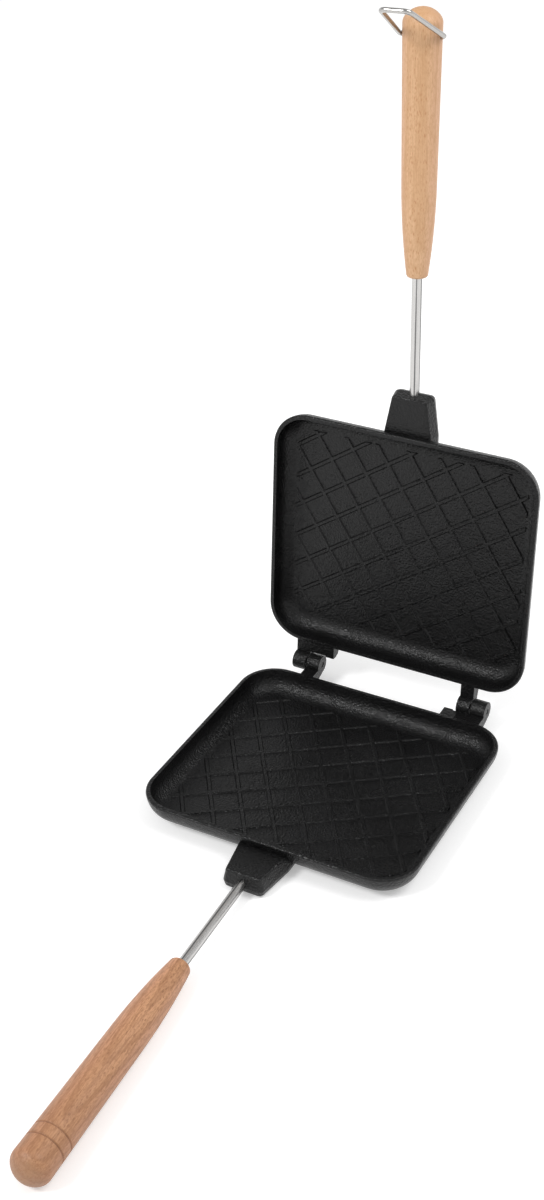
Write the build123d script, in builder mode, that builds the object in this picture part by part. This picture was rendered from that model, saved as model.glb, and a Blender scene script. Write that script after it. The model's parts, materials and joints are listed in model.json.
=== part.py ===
"""Pie iron: two identical cast pans on a two-knuckle hinge, with rods, wooden grips and a wire bail.

Every piece is first made in its own working frame and then placed once:
- the casting lies with the hinge axis on X, its rim a hair under that axis and its handle towards -Y;
- rod, grip and bail lie on a socket frame whose Z runs out along the rod;
- the lower half is the casting as it lies, and the upper half is the same casting turned half round
  about Y and swung open about the hinge.
The finished iron stands with its heel and the butt of its lower grip on Z = 0.
"""

from build123d import *
from math import asin, atan2, cos, degrees, hypot, radians, sin, tan
import os

# ---- pan -----------------------------------------------------------------------------------------
pan_width = 150.0            # across the rim, along X
pan_length = 134.0           # across the rim, along Y
pan_depth = 13.4             # rim to underside
plan_corner = 20.0           # rounding of the rim outline
edge_round = 12.4            # rounding between the outer wall and the underside
outer_draft = 8.0            # degrees
rim_land = 2.5               # flat rim between outer wall and hollow
rim_edge = 1.0               # round on the rim's outer edge
hollow_depth = 11.2          # rim to floor
hollow_draft = 8.0           # degrees
hollow_round = 8.2           # rounding between the inner wall and the floor
rim_to_hinge = 11.5          # rear of the rim to the hinge axis
rim_gap = 0.15               # each rim stands this far off the parting plane

# ---- raised lattice on the floor -----------------------------------------------------------------
ridge_pitch = 14.75
ridge_foot = 2.6             # width of a ridge at the floor
ridge_crown = 1.5            # width of a ridge at its top
ridge_height = 0.7
ridge_turn = 34.2            # degrees between the ridges and the X axis
lattice_width = 131.2
lattice_length = 109.4

# ---- handle socket -------------------------------------------------------------------------------
socket_length = 20.9         # these three at the parting line, where it is widest
socket_root_width = 28.8
socket_end_width = 21.6
socket_top = 4.2             # below the rim
socket_widest = 11.0         # below the rim
socket_bottom = 14.4         # below the rim at the open end; at the root it is level with the pan
socket_draft = 12.5          # degrees, both ways from the parting line
socket_arris = 1.2
socket_end_round = 3.2

# ---- rod -----------------------------------------------------------------------------------------
rod_diameter = 5.1
rod_start = 1.6              # from the front of the rim, inside the socket
rod_end = 125.0
rod_chamfer = 0.5
rod_offset = -1.05           # rod axis along X, at the front of the rim
rod_drop = 10.2              # rod axis below the rim, at the front of the rim
rod_splay = 1.85             # degrees towards +X
rod_rise = 0.56              # degrees towards the parting plane
seat_clearance = 0.02        # radial, in a seat that holds
running_clearance = 0.07     # radial, in a hole that turns

# ---- wooden grip ---------------------------------------------------------------------------------
grip_length = 130.5
grip_neck = 11.0             # diameters
grip_waist = 17.4
grip_butt = 19.2
neck_round = 1.6
waist_at = 47.0              # from the neck; it swells in an arc to here and then tapers straight
dome_length = 7.5
dome_corner = 5.5            # round between the side and the cap of the dome
grip_bore_depth = 46.0
lower_grip_start = 80.0      # front of the rim to the neck of each grip
upper_grip_start = 82.5
groove_from_tip = (15.9, 22.2)
groove_depth = 0.5
groove_width = 1.3

# ---- wire bail -----------------------------------------------------------------------------------
wire_diameter = 2.5
bail_from_tip = 13.2         # pivot of the bail from the tip of the upper grip
bail_length = 35.8           # pivot to the middle of the crossbar
bail_cross = 14.2            # between the middles of the legs at the crossbar
bail_foot = 23.2             # between the middles of the legs at the pivot
bail_pin_depth = 5.0         # how far each end reaches into the grip
bail_foot_bend = 1.8
bail_corner_bend = 3.2
bail_lean = 63.3             # degrees from the grip's axis towards the parting plane

# ---- hinge ---------------------------------------------------------------------------------------
open_angle = 95.85           # between the two rim planes
knuckle_radius = 5.2
hinge_inset = 17.8           # side of the rim to the outer end of the outer knuckle
outer_knuckle_width = 8.1
inner_knuckle_width = 7.6
knuckle_play = 0.5           # between the two knuckles of a pair
web_width = 22.5             # from the outer end of the outer knuckle towards the middle
web_reach = 5.7              # hinge axis to the face of the web
web_top = 0.6                # below the rim
hinge_foot = 8.6             # depth of arm, bracket and web at the wall, below the rim
lug_width = 5.0
lug_reach = 5.0              # hinge axis to the face of the lug
knuckle_edge = 0.4           # round on the ends of a knuckle
pin_diameter = 3.0
pin_recess = 0.3             # pin ends sit this far inside the knuckles

os.makedirs("parts", exist_ok=True)

# ---- places worked out from the sizes ------------------------------------------------------------
rim_z = -rim_gap
floor_z = rim_z - hollow_depth
rear_y = -rim_to_hinge
front_y = rear_y - pan_length
pan_centre = (0, rear_y - pan_length / 2)
into_wall = 6.0              # how far a bracket reaches into the wall, which the hollow then trims
outer_knuckle = (pan_width / 2 - hinge_inset - outer_knuckle_width, pan_width / 2 - hinge_inset)
inner_knuckle = (
    outer_knuckle[0] - knuckle_play - inner_knuckle_width,
    outer_knuckle[0] - knuckle_play,
)                            # both as reach along X from the middle
hinge_web = (outer_knuckle[1] - web_width, outer_knuckle[1])
groove_radius = (groove_width**2 / 4 + groove_depth**2) / (2 * groove_depth)
hollow_width = pan_width - 2 * rim_land
hollow_length = pan_length - 2 * rim_land

rod_direction = Vector(sin(radians(rod_splay)), -cos(radians(rod_splay)), sin(radians(rod_rise)))
socket_frame = Plane(
    origin=(rod_offset, front_y, rim_z - rod_drop),
    x_dir=(cos(radians(rod_splay)), sin(radians(rod_splay)), 0),
    z_dir=rod_direction,
)
rod_radius = rod_diameter / 2
wire_radius = wire_diameter / 2
pin_radius = pin_diameter / 2
grip_radius = grip_butt / 2
dome_cap = ((grip_radius - dome_corner) ** 2 + dome_length**2 - dome_corner**2) / (
    2 * (dome_length - dome_corner)
)                            # radius of the cap that is tangent to the corner round
dome_start = grip_length - dome_length
dome_joint = (
    (grip_radius - dome_corner) * dome_cap / (dome_cap - dome_corner),
    grip_length - dome_cap + (dome_cap - dome_length) * dome_cap / (dome_cap - dome_corner),
)


# ---- casting -------------------------------------------------------------------------------------
with BuildPart() as lattice:
    ridge_reach = (lattice_width + lattice_length) / 2
    ridges_each_way = 2 * int(ridge_reach / ridge_pitch) + 1
    for turn in (ridge_turn, ridge_turn + 90):
        across = Plane(
            origin=(*pan_centre, floor_z),
            x_dir=(-sin(radians(turn)), cos(radians(turn)), 0),
            z_dir=(cos(radians(turn)), sin(radians(turn)), 0),
        )
        with BuildSketch(across):
            with GridLocations(ridge_pitch, 1, ridges_each_way, 1):
                Polygon(
                    (-ridge_foot / 2, -ridge_foot / 2),
                    (ridge_foot / 2, -ridge_foot / 2),
                    (ridge_foot / 2, 0),
                    (ridge_crown / 2, ridge_height),
                    (-ridge_crown / 2, ridge_height),
                    (-ridge_foot / 2, 0),
                    align=None,
                )
        extrude(amount=ridge_reach, both=True)
    with BuildSketch(Plane.XY.offset(floor_z - ridge_foot / 2)):
        with Locations(pan_centre):
            Rectangle(lattice_width, lattice_length)
    extrude(amount=ridge_foot + ridge_height, mode=Mode.INTERSECT)

with BuildPart() as hollow:
    with BuildSketch(Plane.XY.offset(rim_z)):
        with Locations(pan_centre):
            RectangleRounded(hollow_width, hollow_length, plan_corner - rim_land)
    extrude(amount=-hollow_depth, taper=hollow_draft)
    fillet(hollow.faces().sort_by(Axis.Z)[0].edges(), hollow_round)

with BuildPart() as socket:
    root_y = front_y + edge_round
    with BuildSketch(Plane.XY.offset(rim_z - socket_widest)) as socket_plan:
        with BuildLine():
            Polyline(
                (-socket_root_width / 2, root_y),
                (-socket_root_width / 2, front_y),
                (-socket_end_width / 2, front_y - socket_length),
                (socket_end_width / 2, front_y - socket_length),
                (socket_root_width / 2, front_y),
                (socket_root_width / 2, root_y),
                close=True,
            )
        make_face()
        fillet(socket_plan.vertices().group_by(Axis.Y)[0], socket_end_round)
    extrude(socket_plan.sketch, amount=socket_widest - socket_bottom, taper=socket_draft)
    # the underside slopes from the underside of the pan down to the open end
    with BuildSketch(Plane.YZ.offset(-socket_root_width)):
        Polygon(
            (root_y, rim_z - pan_depth),
            (root_y, rim_z - 2 * pan_depth),
            (front_y - 2 * socket_length, rim_z - 2 * pan_depth),
            (front_y - 2 * socket_length, rim_z - 2 * socket_bottom + pan_depth),
            align=None,
        )
    extrude(amount=2 * socket_root_width, mode=Mode.SUBTRACT)
    extrude(socket_plan.sketch, amount=socket_widest - socket_top, taper=socket_draft)
    for face in (socket.faces().sort_by(Axis.Z)[0], socket.faces().sort_by(Axis.Z)[-1]):
        fillet(face.edges().filter_by(lambda edge: edge.center().Y < front_y + 1), socket_arris)

# profiles across the hinge, as seen along X
wall_y = rear_y - into_wall
web_z = rim_z - web_top
foot_z = rim_z - hinge_foot
with BuildPart() as outer_barrel:
    with BuildSketch(Plane.YZ.offset(outer_knuckle[0])):
        Circle(knuckle_radius)
    extrude(amount=outer_knuckle[1] - outer_knuckle[0])
    fillet(outer_barrel.edges().filter_by(GeomType.CIRCLE), knuckle_edge)

with BuildPart() as outer_arm:
    with BuildSketch(Plane.YZ.offset(outer_knuckle[0])):
        Polygon(
            (wall_y, web_z),
            (0, web_z),
            (0, -knuckle_radius),
            (rear_y, foot_z),
            (wall_y, foot_z),
            align=None,
        )
    extrude(amount=outer_knuckle[1] - outer_knuckle[0])
    add(outer_barrel)

with BuildPart() as inner_barrel:
    with BuildSketch(Plane.YZ.offset(-inner_knuckle[1])):
        Circle(knuckle_radius)
    extrude(amount=inner_knuckle[1] - inner_knuckle[0])
    fillet(inner_barrel.edges().filter_by(GeomType.CIRCLE), knuckle_edge)

with BuildPart() as inner_arm:
    with BuildSketch(Plane.YZ.offset(-inner_knuckle[1])):
        Polygon(
            (wall_y, web_z),
            (0, web_z),
            (0, -knuckle_radius),
            (rear_y, foot_z),
            (wall_y, foot_z),
            align=None,
        )
    extrude(amount=inner_knuckle[1] - inner_knuckle[0])
    add(inner_barrel)

with BuildPart() as web:
    with BuildSketch(Plane.YZ.offset(hinge_web[0])):
        Polygon(
            (wall_y, web_z),
            (-web_reach, web_z),
            (-web_reach, foot_z + web_reach / 2),
            (rear_y, foot_z),
            (wall_y, foot_z),
            align=None,
        )
    extrude(amount=hinge_web[1] - hinge_web[0])
    with BuildSketch(Plane.XY.offset(web_z)):
        with Locations((hinge_web[0], -lug_reach)):
            Rectangle(lug_width, wall_y + lug_reach, align=(Align.MIN, Align.MAX))
    extrude(amount=foot_z / 2 - web_z)

with BuildPart() as casting:
    # outer shell
    with BuildSketch(Plane.XY.offset(rim_z)):
        with Locations(pan_centre):
            RectangleRounded(pan_width, pan_length, plan_corner)
    extrude(amount=-pan_depth, taper=outer_draft)
    fillet(casting.faces().sort_by(Axis.Z)[0].edges(), edge_round)
    fillet(casting.faces().sort_by(Axis.Z)[-1].edges(), rim_edge)

    add(socket)

    # hinge side: web with its guide lug, outer knuckle on its bracket, inner knuckle on its arm
    add(web)
    add(outer_arm)
    add(inner_arm)

    # the hollow, its floor lattice and the three bores
    add(hollow, mode=Mode.SUBTRACT)
    add(lattice)
    with Locations(socket_frame):
        with Locations((0, 0, rod_start)):
            Cylinder(
                rod_radius + seat_clearance,
                2 * socket_length,
                align=(Align.CENTER, Align.CENTER, Align.MIN),
                mode=Mode.SUBTRACT,
            )
    for knuckle, bore_radius, side in (
        (outer_knuckle, pin_radius + seat_clearance, 1),
        (inner_knuckle, pin_radius + running_clearance, -1),
    ):
        with Locations((side * (knuckle[0] + knuckle[1]) / 2, 0, 0)):
            Cylinder(
                bore_radius,
                knuckle[1] - knuckle[0] + 1,
                rotation=(0, 90, 0),
                mode=Mode.SUBTRACT,
            )


# ---- pieces on the rod ---------------------------------------------------------------------------
with BuildPart() as rod:
    with Locations((0, 0, rod_start)):
        Cylinder(rod_radius, rod_end - rod_start, align=(Align.CENTER, Align.CENTER, Align.MIN))
    chamfer(rod.edges(), rod_chamfer)

with BuildPart() as grip:
    with BuildSketch(Plane.XZ):
        with BuildLine():
            Line((0, 0), (grip_neck / 2 - neck_round, 0))
            RadiusArc((grip_neck / 2 - neck_round, 0), (grip_neck / 2, neck_round), -neck_round)
            TangentArc(
                (grip_waist / 2, waist_at),
                (grip_neck / 2, neck_round),
                tangent=(grip_waist - grip_butt, 2 * (waist_at - dome_start)),
            )
            Line((grip_waist / 2, waist_at), (grip_radius, dome_start))
            RadiusArc((grip_radius, dome_start), dome_joint, -dome_corner)
            RadiusArc(dome_joint, (0, grip_length), -dome_cap)
            Line((0, grip_length), (0, 0))
        make_face()
    revolve(axis=Axis.Z)
    Cylinder(
        rod_radius + seat_clearance,
        grip_bore_depth,
        align=(Align.CENTER, Align.CENTER, Align.MIN),
        mode=Mode.SUBTRACT,
    )

with BuildPart() as grooved_grip:
    add(grip)
    with BuildSketch(Plane.XZ):
        for from_tip in groove_from_tip:
            with Locations((grip_radius - groove_depth + groove_radius, grip_length - from_tip)):
                Circle(groove_radius)
    revolve(axis=Axis.Z, mode=Mode.SUBTRACT)

with BuildPart() as drilled_grip:
    add(grip)
    with Locations((0, 0, grip_length - bail_from_tip)):
        Cylinder(
            wire_radius + running_clearance,
            2 * grip_radius,
            rotation=(0, 90, 0),
            mode=Mode.SUBTRACT,
        )

# the bail hangs along +Y from its pivot on the X axis
with BuildPart() as bail:
    pin_tip = grip_radius - bail_pin_depth
    with BuildLine() as wire_path:
        FilletPolyline(
            (-pin_tip, 0),
            (-bail_foot / 2, 0),
            (-bail_cross / 2, bail_length),
            (bail_cross / 2, bail_length),
            (bail_foot / 2, 0),
            (pin_tip, 0),
            radius=(bail_foot_bend, bail_corner_bend, bail_corner_bend, bail_foot_bend),
        )
    with BuildSketch(Plane(origin=(-pin_tip, 0, 0), z_dir=(-1, 0, 0))):
        Circle(wire_radius)
    sweep()

with BuildPart() as hinge_pin:
    pin_length = outer_knuckle[1] - inner_knuckle[0] - 2 * pin_recess
    with Locations(((outer_knuckle[1] + inner_knuckle[0]) / 2, 0, 0)):
        Cylinder(pin_radius, pin_length, rotation=(0, 90, 0))
    chamfer(hinge_pin.edges(), pin_recess)


# ---- standing pose -------------------------------------------------------------------------------
# it stands on its heel, the round under the hinge side of the lower pan, and on the fullest place
# of the lower grip, which is the one that needs the most tilt to clear the ground
socket_place = socket_frame.location
heel_y = rear_y - pan_depth * tan(radians(outer_draft)) - edge_round * tan(
    radians(45 - outer_draft / 2)
)
heel_z = rim_z - pan_depth + edge_round
rest_tilt = 0.0
for station, diameter in (
    (waist_at, grip_waist),
    (dome_start, grip_butt),
):
    place = (socket_place * Location((0, 0, lower_grip_start + station))).position
    span = hypot(heel_y - place.Y, heel_z - place.Z)
    needed = atan2(heel_z - place.Z, heel_y - place.Y) - asin((edge_round - diameter / 2) / span)
    rest_tilt = min(rest_tilt, -degrees(needed))

half_turn = Location((0, 0, 0), (0, 180, 0))
swing_open = Location((0, 0, 0), (-open_angle, 0, 0))
tilt = Location((0, 0, 0), (rest_tilt, 0, 0))
lower_place = tilt
upper_place = tilt * swing_open * half_turn
lower_grip_place = lower_place * socket_place * Location((0, 0, lower_grip_start))
upper_grip_place = upper_place * socket_place * Location((0, 0, upper_grip_start))
bail_pivot = Location((0, 0, grip_length - bail_from_tip), (90 - bail_lean, 0, 0))

outline = Compound(
    [
        casting.part.moved(lower_place),
        casting.part.moved(upper_place),
        grooved_grip.part.moved(lower_grip_place),
        drilled_grip.part.moved(upper_grip_place),
    ]
).bounding_box()
# the origin goes under the middle of the whole iron, on the surface that it stands on
stand = Location((-outline.center().X, -outline.center().Y, -outline.min.Z))


# ---- finished pieces -----------------------------------------------------------------------------
with BuildPart() as lower_pan:
    add(casting.part.moved(stand * lower_place))
lower_pan.part.label = "lower_pan"
export_step(lower_pan.part, "parts/lower_pan.step")

with BuildPart() as upper_pan:
    add(casting.part.moved(stand * upper_place))
upper_pan.part.label = "upper_pan"
export_step(upper_pan.part, "parts/upper_pan.step")

with BuildPart() as lower_hinge_pin:
    add(hinge_pin.part.moved(stand * lower_place))
lower_hinge_pin.part.label = "lower_hinge_pin"
export_step(lower_hinge_pin.part, "parts/lower_hinge_pin.step")

with BuildPart() as upper_hinge_pin:
    add(hinge_pin.part.moved(stand * upper_place))
upper_hinge_pin.part.label = "upper_hinge_pin"
export_step(upper_hinge_pin.part, "parts/upper_hinge_pin.step")

with BuildPart() as lower_rod:
    add(rod.part.moved(stand * lower_place * socket_place))
lower_rod.part.label = "lower_rod"
export_step(lower_rod.part, "parts/lower_rod.step")

with BuildPart() as upper_rod:
    add(rod.part.moved(stand * upper_place * socket_place))
upper_rod.part.label = "upper_rod"
export_step(upper_rod.part, "parts/upper_rod.step")

with BuildPart() as lower_grip:
    add(grooved_grip.part.moved(stand * lower_grip_place))
lower_grip.part.label = "lower_grip"
export_step(lower_grip.part, "parts/lower_grip.step")

with BuildPart() as upper_grip:
    add(drilled_grip.part.moved(stand * upper_grip_place))
upper_grip.part.label = "upper_grip"
export_step(upper_grip.part, "parts/upper_grip.step")

with BuildPart() as latch_bail:
    add(bail.part.moved(stand * upper_grip_place * bail_pivot))
latch_bail.part.label = "latch_bail"
export_step(latch_bail.part, "parts/latch_bail.step")

# ---- places that joints refer to -------------------------------------------------------------------
grip_axis = (stand * upper_grip_place * bail_pivot).position
underside = (stand * lower_place * Location((*pan_centre, rim_z - pan_depth))).position
print("hinge axis", stand.position, "rest tilt", rest_tilt)
print("bail pivot", grip_axis, "underside", underside, "size", outline.size)
print("heel", lower_pan.part.bounding_box().min.Z, "grip", lower_grip.part.bounding_box().min.Z)
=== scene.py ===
# %% [markdown]
# # A pie iron: two cast pans, two rods, two wooden grips and a wire bail
#
# A pie iron is a sandwich toaster for an open fire. Two cast aluminium pans with a dark
# non-stick coat close over the bread, and long rods keep the wooden grips away from the heat.
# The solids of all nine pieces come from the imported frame, at their real size. This lesson
# dresses them: each cell looks at one finish or one surface, says how it could be made, and
# makes it in the way that suits this object.

# %% Frame and tools
import json
from math import radians

import bpy
import numpy as np
from mathutils import Matrix, Vector

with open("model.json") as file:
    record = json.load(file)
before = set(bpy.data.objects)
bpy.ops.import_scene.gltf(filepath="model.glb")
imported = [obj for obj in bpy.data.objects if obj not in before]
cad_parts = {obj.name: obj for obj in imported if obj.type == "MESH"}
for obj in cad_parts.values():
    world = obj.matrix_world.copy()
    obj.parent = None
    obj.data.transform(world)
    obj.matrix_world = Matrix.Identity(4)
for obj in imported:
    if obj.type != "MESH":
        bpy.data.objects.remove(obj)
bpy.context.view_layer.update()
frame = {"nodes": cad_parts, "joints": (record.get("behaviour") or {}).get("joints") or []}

nodes = frame["nodes"]
joint_at = {joint["name"]: Vector(joint["pos_m"]) for joint in frame["joints"]}
hinge_axis = joint_at["hinge"]
print("hinge axis at", hinge_axis, "pieces:", sorted(nodes))


# %% [markdown]
# ## Reading a round piece
# The rods and grips lie at odd angles. Their own middle line is needed for the wood grain and
# for the drawing marks on the steel. It could be typed in, but it is safer to read it from the
# mesh: the direction in which the corner points spread the most is the long axis.

# %% Long axis of a node
def mesh_points(obj):
    """All corner points of a mesh as an N by 3 array, in metres."""
    points = np.empty(len(obj.data.vertices) * 3)
    obj.data.vertices.foreach_get("co", points)
    return points.reshape(-1, 3)


def long_axis(node):
    """Middle and unit direction of the longest spread of a node, pointing away from the hinge."""
    points = mesh_points(nodes[node])
    low, high = points.min(0), points.max(0)
    spread = points - points.mean(0)
    direction = np.linalg.svd(spread, full_matrices=False)[2][0]
    middle = (low + high) / 2
    if direction @ (middle - np.array(hinge_axis)) < 0:
        direction = -direction
    return Vector(middle), Vector(direction)


for name in ("lower_rod", "upper_rod", "lower_grip", "upper_grip"):
    print(name, "middle and direction", long_axis(name))


# %% [markdown]
# ## The view
# The iron is seen from its front right and from above, through a lens of moderate length.
# The camera is placed from the hinge axis, because every other piece is placed from it too.

# %% Camera
view_azimuth = 28.85                      # degrees round from looking along +Y
view_elevation = 31.59                    # degrees down
view_roll = -2.06                         # degrees
camera_from_hinge = Vector((0.3388, -0.7200, 0.5950))
focal_length = 54.49                      # mm, on a 36 mm frame
frame_shift = (-0.0154, -0.0663)          # shares of the picture's height
near_clip = 0.05                          # metres

camera_data = bpy.data.cameras.new("studio_camera")
camera_data.lens = focal_length
camera_data.shift_x, camera_data.shift_y = frame_shift
camera_data.clip_start = near_clip
camera = bpy.data.objects.new("studio_camera", camera_data)
camera.matrix_world = (
    Matrix.Translation(hinge_axis + camera_from_hinge)
    @ Matrix.Rotation(radians(view_azimuth), 4, "Z")
    @ Matrix.Rotation(radians(90 - view_elevation), 4, "X")
    @ Matrix.Rotation(radians(view_roll), 4, "Z")
)
bpy.context.scene.collection.objects.link(camera)
bpy.context.scene.camera = camera
bpy.context.scene.view_settings.view_transform = "Standard"
print("camera", round(camera_from_hinge.length, 3), "m from the hinge, lens", focal_length, "mm")


# %% [markdown]
# ## Building materials from nodes
# A node tree in code is easier to read when one helper adds a node with its settings and
# another wires it. Effects that two materials share go into node groups, made once.

# %% Node helpers
def add_node(tree, kind, label="", **settings):
    """One node of a tree, with its properties set by name."""
    node = tree.nodes.new(kind)
    node.label = label
    for key, value in settings.items():
        setattr(node, key, value)
    return node


def feed(tree, socket, value):
    """Wires a socket, or types a number or colour into it."""
    if isinstance(value, bpy.types.NodeSocket):
        tree.links.new(value, socket)
    elif value is not None:
        socket.default_value = value


def math_node(tree, operation, first, second=None, third=None, clamp=False):
    """The result of a Math node on up to three values."""
    node = add_node(tree, "ShaderNodeMath", operation=operation, use_clamp=clamp)
    for socket, value in zip(node.inputs, (first, second, third)):
        feed(tree, socket, value)
    return node.outputs[0]


def scaled(tree, value, factor):
    """A value times a number or another value."""
    return math_node(tree, "MULTIPLY", value, factor)


def line(tree, value, slope, start):
    """value * slope + start."""
    return math_node(tree, "MULTIPLY_ADD", value, slope, start)


def ramp(tree, value, low, high, smooth=True):
    """0 below low, 1 above high, and a smooth or even change between them."""
    kind = "SMOOTHSTEP" if smooth else "LINEAR"
    node = add_node(tree, "ShaderNodeMapRange", interpolation_type=kind)
    feed(tree, node.inputs["Value"], value)
    node.inputs["From Min"].default_value = low
    node.inputs["From Max"].default_value = high
    return node.outputs["Result"]


def axes_of(tree, vector):
    """The X, Y and Z of a vector, as three values."""
    node = add_node(tree, "ShaderNodeSeparateXYZ")
    feed(tree, node.inputs[0], vector)
    return node.outputs


def between(tree, factor, first, second):
    """A colour between two colours."""
    node = add_node(tree, "ShaderNodeMix", data_type="RGBA")
    colour_a, colour_b, mixed = 6, 7, 2   # where the Mix node keeps its colour sockets
    feed(tree, node.inputs["Factor"], factor)
    feed(tree, node.inputs[colour_a], first)
    feed(tree, node.inputs[colour_b], second)
    return node.outputs[mixed]


def noise(tree, place, scale, detail=2.0, roughness=0.5):
    """The value of a Noise texture at a place."""
    node = add_node(tree, "ShaderNodeTexNoise")
    feed(tree, node.inputs["Vector"], place)
    node.inputs["Detail"].default_value = detail
    node.inputs["Roughness"].default_value = roughness
    feed(tree, node.inputs["Scale"], scale)
    return node.outputs["Fac"]


def stretched(tree, place, scale, turn=(0, 0, 0), shift=(0, 0, 0)):
    """A place scaled, then turned, then shifted."""
    node = add_node(tree, "ShaderNodeMapping")
    feed(tree, node.inputs["Vector"], place)
    node.inputs["Scale"].default_value = scale
    node.inputs["Rotation"].default_value = turn
    node.inputs["Location"].default_value = shift
    return node.outputs["Vector"]


# %% [markdown]
# ## Groups, materials and how they are put on
# Every material here is one Principled BSDF whose colour, roughness and normal are wired, so
# a single helper starts them all. What is the same all over a surface is typed into the
# shader's own sockets, where an exporter can find it.

# %% Group and material helpers
def new_group(name, inputs, outputs):
    """An empty node group with named sockets, and its input and output nodes."""
    group = bpy.data.node_groups.new(name, "ShaderNodeTree")
    for label, kind, value in inputs:
        socket = group.interface.new_socket(label, in_out="INPUT", socket_type=kind)
        if value is not None:
            socket.default_value = value
    for label in outputs:
        group.interface.new_socket(label, in_out="OUTPUT", socket_type="NodeSocketFloat")
    group_in, group_out = group.nodes.new("NodeGroupInput"), group.nodes.new("NodeGroupOutput")
    return group, group_in.outputs, group_out.inputs


def place_group(tree, group, **values):
    """A node that uses a group, with its inputs set by name; underscores stand for spaces."""
    node = add_node(tree, "ShaderNodeGroup", group.name)
    node.node_tree = group
    for key, value in values.items():
        feed(tree, node.inputs[key.replace("_", " ")], value)
    return node.outputs


def new_material(name, **surface):
    """A material with one Principled BSDF, its plain values, and its object coordinates."""
    material = bpy.data.materials.new(name)
    material.use_nodes = True
    tree = material.node_tree
    shader = tree.nodes["Principled BSDF"]
    for key, value in surface.items():
        shader.inputs[key.replace("_", " ")].default_value = value
    place = add_node(tree, "ShaderNodeTexCoord").outputs["Object"]
    return material, tree, shader, place


def bump(tree, shader, height, depth, strength=1.0):
    """Raises the surface by a height map, where depth is the height in metres of the value 1."""
    node = add_node(tree, "ShaderNodeBump")
    node.inputs["Strength"].default_value = strength
    node.inputs["Distance"].default_value = depth
    feed(tree, node.inputs["Height"], height)
    tree.links.new(node.outputs["Normal"], shader.inputs["Normal"])


def dress(material, *names):
    """Puts one material on every slot of the named nodes."""
    for name in names:
        for slot in nodes[name].material_slots:
            slot.material = material
    print(material.name, "is on", ", ".join(names))


# %% [markdown]
# ## Non-stick coat
# The coat is sprayed on a shot-blasted casting, so under it lies a fine pebbled skin. Where a
# round catches a lamp, each pebble throws its own spark and the highlight breaks into speckle.
# Bumps of one size look like orange peel. Two noises, fine pebbles and faint wider lumps, look
# more like cast skin, and a third, very wide one lets the sheen change from patch to patch.

# %% Cast skin group
pebbles_per_metre = 1000.0
lump_scale, lump_share = 0.3, 0.3         # lumps are wider and lower than pebbles
patches_per_metre = 28.0

cast_skin, skin_in, skin_out = new_group(
    "cast skin",
    [("Vector", "NodeSocketVector", None), ("Pebble", "NodeSocketFloat", pebbles_per_metre)],
    ["Height", "Patch"],
)
fine = noise(cast_skin, skin_in["Vector"], skin_in["Pebble"], detail=1.5, roughness=0.5)
lumps_per_metre = scaled(cast_skin, skin_in["Pebble"], lump_scale)
coarse = noise(cast_skin, skin_in["Vector"], lumps_per_metre, detail=2.0)
feed(cast_skin, skin_out["Height"], line(cast_skin, coarse, lump_share, fine))
feed(cast_skin, skin_out["Patch"], noise(cast_skin, skin_in["Vector"], patches_per_metre, detail=3.0))
print("cast skin:", len(cast_skin.nodes), "nodes")

# %% Coated casting material
coat_black = (0.0035, 0.0035, 0.0036, 1)
coat_dull = (0.0060, 0.0060, 0.0062, 1)   # where a patch is a little paler and rougher
coat_specular = 0.28
coat_roughness, dull_roughness = 0.25, 0.05
patch_edge = (0.3, 0.7)                   # noise values between black and dull
pebble_height = 0.0005                    # metres, for the value 1 of the noise

coat, tree, shader, place = new_material("coated_casting", Specular_IOR_Level=coat_specular)
skin = place_group(tree, cast_skin, Vector=place, Pebble=pebbles_per_metre)
shade = ramp(tree, skin["Patch"], *patch_edge)
feed(tree, shader.inputs["Base Color"], between(tree, shade, coat_black, coat_dull))
feed(tree, shader.inputs["Roughness"], line(tree, shade, dull_roughness, coat_roughness))
bump(tree, shader, skin["Height"], pebble_height)
dress(coat, "lower_pan", "upper_pan")


# %% [markdown]
# ## Turned beech
# The grips are turned from beech. Its signs are pale tan wood, faint growth rings that turn
# into long arches where they graze the surface, and short brown flecks along the grain. A
# picture could carry all that, but a solid pattern is better for turned work: rings, fibres and
# flecks are worked out in the space of the blank, so they meet correctly at the rounded butt.
#
# Everything in this group is measured in the blank's millimetres, with Z along the grip. A ring
# is the distance from the pith, a line beside the grip, divided by the ring's width. The pith
# leans a little, so the rings run out through the surface and draw their arches there.

# %% Beech group: growth rings
ring_wander = (0.09, 0.09, 0.02)          # waves per mm across and along the grain
ring_stray = 5.0                          # mm, how far a ring strays from a true circle
late_wood = (0.35, 0.93)                  # the part of a ring over which it darkens
next_ring = (0.93, 1.0)                   # and over which the next one starts pale

beech, beech_in, beech_out = new_group(
    "beech",
    [
        ("Vector", "NodeSocketVector", None),
        ("Ring Width", "NodeSocketFloat", 3.0),
        ("Pith", "NodeSocketVector", (30.0, 12.0, 0.0)),
        ("Slope", "NodeSocketFloat", 0.05),
    ],
    ["Ring", "Fibre", "Mottle", "Fleck", "Flat"],
)
spot = axes_of(beech, beech_in["Vector"])
pith = axes_of(beech, beech_in["Pith"])
drift = scaled(beech, spot["Z"], beech_in["Slope"])
off_x = math_node(beech, "SUBTRACT", math_node(beech, "SUBTRACT", spot["X"], pith["X"]), drift)
off_y = math_node(beech, "SUBTRACT", spot["Y"], pith["Y"])
squares = line(beech, off_x, off_x, scaled(beech, off_y, off_y))
waver = noise(beech, stretched(beech, beech_in["Vector"], ring_wander), 1.0, detail=3.0)
from_pith = line(beech, waver, ring_stray, math_node(beech, "SQRT", squares))
ring_place = math_node(beech, "FRACT", math_node(beech, "DIVIDE", from_pith, beech_in["Ring Width"]))
late = ramp(beech, ring_place, *late_wood)
fresh = ramp(beech, ring_place, *next_ring)
feed(beech, beech_out["Ring"], math_node(beech, "SUBTRACT", late, fresh, clamp=True))
print("rings:", len(beech.nodes), "nodes")

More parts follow.
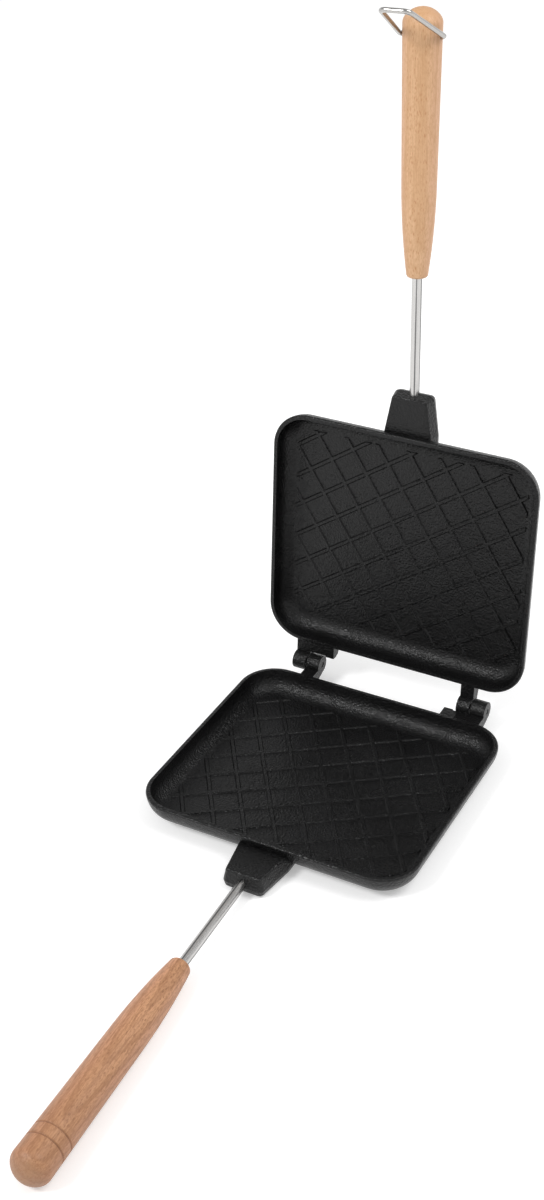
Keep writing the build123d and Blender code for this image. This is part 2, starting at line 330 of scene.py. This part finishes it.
# %% Beech group: fibre and mottle
fibre_grain = (1.5, 1.5, 0.07)            # waves per mm: long, thin fibres
mottle_grain = (1.2, 1.2, 0.45)           # and short, broad clouds

fibre_place = stretched(beech, beech_in["Vector"], fibre_grain)
fibres = noise(beech, fibre_place, 1.0, detail=3.0, roughness=0.65)
feed(beech, beech_out["Fibre"], fibres)
mottle_place = stretched(beech, beech_in["Vector"], mottle_grain)
clouds = noise(beech, mottle_place, 1.0, detail=4.0, roughness=0.7)
feed(beech, beech_out["Mottle"], clouds)
print("with fibre and mottle:", len(beech.nodes), "nodes")

# %% [markdown]
# Flecks are the wood's rays cut across. They crowd where the surface lies flat on the rings and
# are rare on the sides, so a mask of how squarely the surface faces the pith decides between
# many and few. Each fleck is one cell of a Voronoi texture, and a cell's own random colour
# decides how dark it is.

# %% Beech group: flecks
fleck_cells = (1.25, 1.25, 0.4)           # cells per mm across and along the grain
fleck_fade = (0.18, 0.45)                 # distance from a cell's middle at which a fleck ends
fleck_choice = (0.15, 0.9)                # a cell's random number, from no fleck to a dark one
flat_wander = (0.2, 0.2, 0.05)            # waves per mm of the mask's ragged edge
flat_stray = 0.3                          # how far that edge strays
flat_edge = (0.85, 1.12)                  # facing plus stray, from side to flat
rosy_edge = (0.6, 1.0)                    # facing, from rosy side to pale flat
few, many = 0.15, 0.85                    # flecks on the sides, and added on the flat
least_radius = 0.1                        # mm, so that nothing is divided by zero

cells = add_node(beech, "ShaderNodeTexVoronoi", distance="EUCLIDEAN")
feed(beech, cells.inputs["Vector"], stretched(beech, beech_in["Vector"], fleck_cells))
cells.inputs["Scale"].default_value = 1.0
cells.inputs["Randomness"].default_value = 1.0
chance = add_node(beech, "ShaderNodeSeparateColor")
feed(beech, chance.inputs[0], cells.outputs["Color"])
body = math_node(beech, "SUBTRACT", 1.0, ramp(beech, cells.outputs["Distance"], *fleck_fade))
chosen = ramp(beech, chance.outputs["Red"], *fleck_choice)

square = line(beech, spot["X"], spot["X"], scaled(beech, spot["Y"], spot["Y"]))
radius = math_node(beech, "MAXIMUM", math_node(beech, "SQRT", square), least_radius)
facing = math_node(beech, "DIVIDE", math_node(beech, "ABSOLUTE", spot["X"]), radius)
wander = noise(beech, stretched(beech, beech_in["Vector"], flat_wander), 1.0, detail=2.0)
flat_cut = ramp(beech, line(beech, wander, flat_stray, facing), *flat_edge)
crowd = line(beech, flat_cut, many, few)
feed(beech, beech_out["Fleck"], scaled(beech, scaled(beech, body, chosen), crowd))
feed(beech, beech_out["Flat"], ramp(beech, facing, *rosy_edge))
print("with flecks:", len(beech.nodes), "nodes")


# %% [markdown]
# ## Two grips, two pieces of wood
# Both grips use the beech group, each with its own blank. The tones are laid over one another
# from the broadest to the finest: rings, fibres, mottle, flecks. The sides, cut through the
# rings, are a little rosier. The wood is painted darker towards the butt, the butt itself
# shows end grain with open pores, and the two turned grooves are painted darker. Those
# grooves are real cuts in the solid, so here they are only painted darker.

# %% Beech material
fibre_edge, mottle_edge = (0.40, 0.70), (0.42, 0.68)    # noise values from pale to dark
fibre_share, mottle_share, fleck_share = 0.55, 0.60, 0.55
groove_dark_share, end_share, pore_share = 0.6, 0.55, 0.8
rosy_green, rosy_blue = 0.97, 1.06        # what the sides do to the pale tone
darken_from, darken_full = 125, 8             # mm from the butt: where the darkening starts, and where it is full
end_from, end_full = 6.5, 1               # mm from the butt where end grain shows
groove_half = (0.1, 0.65)                 # mm from a groove's middle where its darker paint fades out
wood_specular, wood_roughness, fibre_roughness = 0.4, 0.38, 0.2
fleck_dent = -0.5                         # flecks lie lower than the fibres beside them
grain_depth, grain_strength = 0.0001, 0.25
millimetres = 1000                        # in a metre


def beech_material(
    name, grip, light, dark, brown, end_tone,
    ring_width, ring_share, pith, slope, turn, butt_darkening, grooves=(),
):
    """Beech in the blank's own millimetres: Z runs along the grip, X and Y across it.

    light, dark and brown are the wood's tones, and end_tone is that of the butt. ring_share is
    how dark the rings are, pith and slope place them, and turn is how far the blank is turned
    about its own line, in degrees. The next argument is how much darker the wood is painted at
    the butt, and grooves are distances in millimetres from the butt to lines that are painted darker."""
    material, tree, shader, place = new_material(name, Specular_IOR_Level=wood_specular)
    middle, direction = long_axis(grip)
    straight = direction.to_track_quat("Z", "Y").to_matrix().transposed()
    upright = Matrix.Rotation(radians(turn), 3, "Z") @ straight
    blank = stretched(
        tree, place, (millimetres,) * 3, turn=upright.to_euler(), shift=-(upright @ middle) * millimetres
    )
    grain = place_group(tree, beech, Vector=blank, Ring_Width=ring_width, Pith=pith, Slope=slope)

    rosy = (light[0], light[1] * rosy_green, light[2] * rosy_blue, 1)
    tone = between(tree, grain["Flat"], rosy, light)
    tone = between(tree, scaled(tree, grain["Ring"], ring_share), tone, dark)
    fibre = ramp(tree, grain["Fibre"], *fibre_edge)
    tone = between(tree, scaled(tree, fibre, fibre_share), tone, dark)
    mottle = ramp(tree, grain["Mottle"], *mottle_edge)
    tone = between(tree, scaled(tree, mottle, mottle_share), tone, dark)
    tone = between(tree, scaled(tree, grain["Fleck"], fleck_share), tone, brown)

    along = axes_of(tree, blank)["Z"]
    reach = max((Vector(point) - middle) @ direction for point in mesh_points(nodes[grip]))
    butt = reach * millimetres
    # The wood is painted darker towards the butt.
    toward_butt = ramp(tree, along, butt - darken_from, butt - darken_full, smooth=False)
    tone = between(tree, scaled(tree, toward_butt, butt_darkening), tone, dark)
    end_grain = ramp(tree, along, butt - end_from, butt - end_full)
    end_grain = scaled(tree, end_grain, line(tree, mottle, -pore_share, 1.0))
    tone = between(tree, scaled(tree, end_grain, end_share), tone, end_tone)
    # The two turned grooves are painted darker.
    for groove in grooves:
        off = math_node(tree, "ABSOLUTE", math_node(tree, "SUBTRACT", along, butt - groove))
        groove_dark = math_node(tree, "SUBTRACT", 1.0, ramp(tree, off, *groove_half))
        tone = between(tree, scaled(tree, groove_dark, groove_dark_share), tone, brown)

    feed(tree, shader.inputs["Base Color"], tone)
    feed(tree, shader.inputs["Roughness"], line(tree, grain["Fibre"], fibre_roughness, wood_roughness))
    dent = line(tree, grain["Fleck"], fleck_dent, grain["Fibre"])
    bump(tree, shader, dent, grain_depth, grain_strength)
    print(name, "has its butt", round(butt, 1), "mm from the grip's middle")
    return material


# %% The two grips
upper_wood = beech_material(
    "upper_wood", "upper_grip",
    light=(0.705, 0.44, 0.255, 1), dark=(0.52, 0.285, 0.135, 1), brown=(0.42, 0.165, 0.045, 1),
    end_tone=(0.52, 0.285, 0.135, 1), ring_width=4.5, ring_share=0.35,
    pith=(34.0, 6.0, 0.0), slope=0.03, turn=-88, butt_darkening=0.12,
)
dress(upper_wood, "upper_grip")
lower_wood = beech_material(
    "lower_wood", "lower_grip",
    light=(0.60, 0.32, 0.17, 1), dark=(0.27, 0.12, 0.055, 1), brown=(0.17, 0.07, 0.03, 1),
    end_tone=(0.31, 0.18, 0.105, 1), ring_width=3.6, ring_share=0.42,
    pith=(26.0, 2.0, 0.0), slope=0.12, turn=-60, butt_darkening=0.45, grooves=(15.9, 22.2),
)
dress(lower_wood, "lower_grip")


# %% [markdown]
# ## Drawn steel
# Rod and wire are drawn through a die, which leaves hair-fine marks along them. The marks are
# far too fine to model. Noise that is stretched a hundredfold along the rod varies the shade,
# the roughness and the bump, so that a lamp's streak frays a little at its edges. A second,
# coarser noise of the same kind paints a few long dark lines into the rods' colour. These are
# painted reflections that stand in for the dark corners a real room would show in the steel.

# %% Drawn marks and painted reflections group
marks_per_mm = 5.0
mark_stretch = (1.0, 1.0, 0.01)
reflection_stretch = (0.75, 0.75, 0.002)        # waves per mm of the long painted reflection lines
cloud_scale = 0.15                        # waves per mm of the change in polish

drawn, drawn_in, drawn_out = new_group(
    "drawn marks",
    [("Vector", "NodeSocketVector", None), ("Fineness", "NodeSocketFloat", marks_per_mm)],
    ["Mark", "Line", "Cloud"],
)
lengthwise = stretched(drawn, drawn_in["Vector"], mark_stretch)
feed(drawn, drawn_out["Mark"], noise(drawn, lengthwise, drawn_in["Fineness"], detail=3.0, roughness=0.7))
# Long dark lines for the rods, which are painted into their colour as reflections.
reflection_place = stretched(drawn, drawn_in["Vector"], reflection_stretch)
feed(drawn, drawn_out["Line"], noise(drawn, reflection_place, 1.0, detail=1.0))
feed(drawn, drawn_out["Cloud"], noise(drawn, drawn_in["Vector"], cloud_scale, detail=2.0))
print("drawn marks:", len(drawn.nodes), "nodes")


# %% Steel material
mark_shade = 0.82                         # how dark the fine marks are
# The grey of the long dark lines on the rods, which are painted reflections.
painted_reflection_grey = (0.06, 0.06, 0.06, 1)
mark_edge, reflection_edge = (0.35, 0.65), (0.47, 0.56)       # noise values: marks from dark to bright, and painted reflection lines from none to full
cloud_roughness, mark_roughness = 0.12, 0.10
mark_strength = 0.4


def steel_material(name, along, colour, roughness, depth, reflection_share=0.0):
    """Steel with lengthwise marks; along is the node whose axis the marks follow.

    depth is that of the marks in metres, and the last argument is how far the long lines of painted
    reflection go dark."""
    material, tree, shader, place = new_material(name, Metallic=1.0)
    middle, direction = long_axis(along)
    upright = direction.to_track_quat("Z", "Y").to_matrix().transposed()
    bar = stretched(
        tree, place, (millimetres,) * 3, turn=upright.to_euler(), shift=-(upright @ middle) * millimetres
    )
    marks = place_group(tree, drawn, Vector=bar, Fineness=marks_per_mm)
    worn = line(tree, marks["Cloud"], cloud_roughness, roughness)
    feed(tree, shader.inputs["Roughness"], line(tree, marks["Mark"], mark_roughness, worn))
    marked = tuple(mark_shade * value for value in colour)
    bright = between(tree, ramp(tree, marks["Mark"], *mark_edge), (*marked, 1), (*colour, 1))
    # The long dark lines are painted into the colour as reflections.
    painted_reflection = scaled(tree, ramp(tree, marks["Line"], *reflection_edge), reflection_share)
    feed(tree, shader.inputs["Base Color"], between(tree, painted_reflection, bright, painted_reflection_grey))
    bump(tree, shader, marks["Mark"], depth, mark_strength)
    return material


# %% Rods, wire and pins
rod_steel, wire_steel, pin_steel = (0.58, 0.57, 0.56), (0.48, 0.47, 0.455), (0.10, 0.10, 0.10)
rod_roughness, wire_roughness, pin_roughness = 0.16, 0.12, 0.35
rod_marks, wire_marks = 0.00004, 0.00002  # metres deep
# How dark the painted reflection lines on the rods are.
rod_reflection_share = 0.8

for rod in ("lower_rod", "upper_rod"):
    dress(steel_material(rod + "_steel", rod, rod_steel, rod_roughness, rod_marks, rod_reflection_share), rod)
wire_finish = steel_material("wire_steel", "upper_rod", wire_steel, wire_roughness, wire_marks)
dress(wire_finish, "latch_bail")
pin_finish = steel_material("pin_steel", "upper_rod", pin_steel, pin_roughness, rod_marks)
dress(pin_finish, "lower_hinge_pin", "upper_hinge_pin")


# %% [markdown]
# ## White table
# A white table under even studio light. The table keeps the soft shadow under the iron, and
# where no shadow falls it is white to the eye and in the steel. A brighter lamp would bleach
# the wood as well, so the table gets a faint glow of its own that only the eye and mirrors see.
# Farther out it turns into the backdrop, as a paper sweep does, so that no edge shows from any
# side.

# %% Floor
floor_size = 8.0                          # metres
table_paint = (0.86, 0.86, 0.86, 1)
table_glow = 0.33
room_level = 0.55                         # light that the room sends back
sweep_reach = (1.3, 2.6)                  # metres out, where the table turns into the backdrop

floor_mesh = bpy.data.meshes.new("white_table")
half = floor_size / 2
corners = [(-half, -half, 0), (half, -half, 0), (half, half, 0), (-half, half, 0)]
floor_mesh.from_pydata(corners, [], [(0, 1, 2, 3)])
white_table = bpy.data.objects.new("white_table", floor_mesh)
bpy.context.scene.collection.objects.link(white_table)
table_white = bpy.data.materials.new("table_white")
table_white.use_nodes = True
tree = table_white.node_tree
tree.nodes.remove(tree.nodes["Principled BSDF"])

# %% Floor material
paint = add_node(tree, "ShaderNodeBsdfDiffuse")
paint.inputs["Color"].default_value = table_paint
glow = add_node(tree, "ShaderNodeEmission")
rays = add_node(tree, "ShaderNodeLightPath").outputs
mirrored = math_node(tree, "MAXIMUM", rays["Is Glossy Ray"], rays["Is Transmission Ray"])
seen = math_node(tree, "MAXIMUM", rays["Is Camera Ray"], mirrored)
feed(tree, glow.inputs["Strength"], scaled(tree, seen, table_glow))
both = add_node(tree, "ShaderNodeAddShader")
tree.links.new(paint.outputs[0], both.inputs[0])
tree.links.new(glow.outputs[0], both.inputs[1])

room = add_node(tree, "ShaderNodeEmission")
feed(tree, room.inputs["Strength"], line(tree, seen, 1 - room_level, room_level))
distance = add_node(tree, "ShaderNodeVectorMath", operation="LENGTH")
feed(tree, distance.inputs[0], add_node(tree, "ShaderNodeTexCoord").outputs["Object"])
sweep = add_node(tree, "ShaderNodeMixShader")
feed(tree, sweep.inputs["Fac"], ramp(tree, distance.outputs["Value"], *sweep_reach))
tree.links.new(both.outputs[0], sweep.inputs[1])
tree.links.new(room.outputs[0], sweep.inputs[2])
tree.links.new(sweep.outputs[0], tree.nodes["Material Output"].inputs["Surface"])
floor_mesh.materials.append(table_white)
print("table", floor_size, "m wide, backdrop from", sweep_reach[0], "m out")


# %% [markdown]
# ## Room
# The room is white to the eye, but lights the iron only about half as strongly, so that the
# lamps still model it. Mirrors see white walls under a ceiling that is only as bright as the
# light the room sends. The lower pan lies flat and mirrors that ceiling, while the upper pan
# mirrors the white table, so of two castings with one finish the lower one looks darker.

# %% World
ceiling_level = 0.5                       # mirrors see the ceiling fade towards this, down to room_level
ceiling_from = (0.25, 0.5)                # height in a direction of length 1: wall, ceiling

world = bpy.data.worlds.new("studio")
bpy.context.scene.world = world
world.use_nodes = True
tree = world.node_tree
sky = tree.nodes["Background"]
sky.inputs["Color"].default_value = (1, 1, 1, 1)
rays = add_node(tree, "ShaderNodeLightPath").outputs
upward = axes_of(tree, add_node(tree, "ShaderNodeTexCoord").outputs["Generated"])["Z"]
dimmed = scaled(tree, ramp(tree, upward, *ceiling_from), (ceiling_level - 1) / (1 - room_level))
in_mirror = line(tree, rays["Is Glossy Ray"], dimmed, rays["Is Glossy Ray"])
seen = math_node(tree, "MAXIMUM", rays["Is Transmission Ray"], in_mirror)
seen = math_node(tree, "MAXIMUM", rays["Is Camera Ray"], seen)
feed(tree, sky.inputs["Strength"], line(tree, seen, 1 - room_level, room_level))
print("room lights at", room_level, "and its ceiling mirrors at", max(ceiling_level, room_level))


# %% [markdown]
# ## Lamps
# Two square softboxes look at the hinge. The large key stands high on the right and gives the
# grips their roundness and the table its shadow. The small one stands in front on the left. A
# dark coat shows a lamp mainly as a mirror image, and this one draws the speckled streak along
# the round at the foot of each pan's wall. A small lamp makes that streak narrow and bright.

# %% Softboxes
def softbox(name, offset, side, power):
    """A square area lamp, offset from the hinge and looking at it; side in metres, power in watts."""
    lamp = bpy.data.lights.new(name, "AREA")
    lamp.shape = "RECTANGLE"
    lamp.size, lamp.size_y = side, side
    lamp.energy = power
    box = bpy.data.objects.new(name, lamp)
    place = hinge_axis + Vector(offset)
    aim = (-Vector(offset)).to_track_quat("-Z", "Y").to_matrix().to_4x4()
    box.matrix_world = Matrix.Translation(place) @ aim
    bpy.context.scene.collection.objects.link(box)
    print(name, "at", place, side, "m wide", power, "W")


softbox("key_softbox", offset=(1.2, 0.3, 1.9), side=1.2, power=23)
softbox("front_softbox", offset=(-0.75, -1.3, 1.55), side=0.5, power=20)
